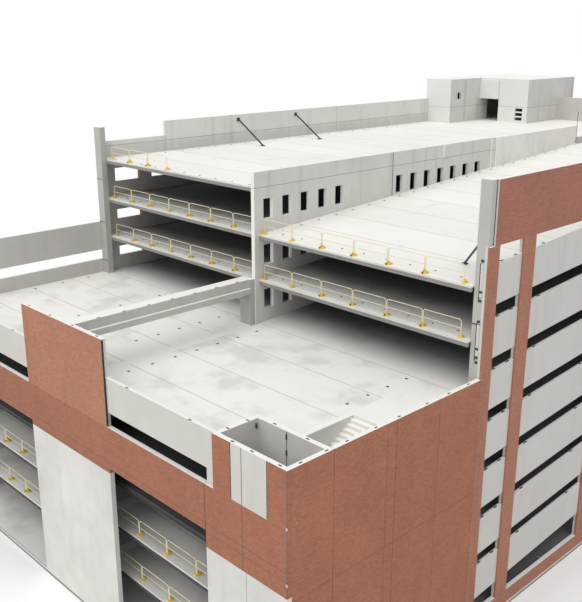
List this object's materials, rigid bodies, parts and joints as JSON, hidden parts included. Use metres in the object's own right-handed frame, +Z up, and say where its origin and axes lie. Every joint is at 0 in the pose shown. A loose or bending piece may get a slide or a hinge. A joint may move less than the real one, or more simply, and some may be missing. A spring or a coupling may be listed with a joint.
{
  "type": "multi storey car park, 1:2 scale model",
  "caption": "Half-size multi storey car park of precast concrete, with level and ramped double tee floors, brick-faced panels, an open lift shaft and a wall of upright windows.",
  "frame": {"origin": "middle of the footprint with its rear tower, on the ground", "axes": "+Z up, +X along the front towards the lift tower's corner, +Y from the front to the rear"},
  "size_m": [18.95, 37.3, 15.35],
  "materials": {
    "concrete_deck": "pale broom-finished concrete",
    "concrete_grey": "grey precast concrete",
    "concrete_pale": "pale precast concrete",
    "steel_dark": "dark paint on steel",
    "steel_yellow": "yellow paint on steel",
    "thin_brick": "thin brick set in precast concrete"
  },
  "bodies": {
    "root": {"centre_columns": "concrete_grey", "centre_panel": "thin_brick", "front_band": "thin_brick", "front_centre_beams": "concrete_grey", "front_left_floors": "concrete_deck", "front_right_floors": "concrete_deck", "front_shear_wall": "concrete_pale", "front_spandrels": "concrete_grey", "ground_ramp": "concrete_deck", "ground_slab": "concrete_deck", "guard_rails_floors": "steel_yellow", "guard_rails_front": "steel_yellow", "guard_rails_ramps": "steel_yellow", "high_beam": "concrete_grey", "house_roof": "concrete_grey", "house_walls": "concrete_pale", "left_base_wall": "thin_brick", "left_brick_strips": "thin_brick", "left_columns": "concrete_grey", "left_floors": "concrete_deck", "left_parapet": "concrete_pale", "left_spandrels": "concrete_grey", "lite_walls": "concrete_pale", "plain_centre_wall": "concrete_pale", "rear_brick_walls": "thin_brick", "rear_centre_beams": "concrete_grey", "rear_right_floors": "concrete_deck", "rear_spandrels": "concrete_grey", "rear_tower_walls": "concrete_pale", "right_base_wall": "thin_brick", "right_brick_strips": "thin_brick", "right_column": "concrete_grey", "right_ramps": "concrete_deck", "right_spandrels_long_bays": "concrete_grey", "right_spandrels_narrow_bay": "concrete_grey", "right_top_panels": "thin_brick", "shaft_walls": "concrete_grey", "stair_core_wall": "concrete_grey", "stair_landings": "concrete_deck", "stair_treads": "concrete_deck", "stair_wall": "thin_brick", "steel_props": "steel_dark", "tower_brick_strips": "thin_brick", "tower_grey_panel": "concrete_grey", "tower_lower_wall": "concrete_grey"}
  },
  "joints": []
}
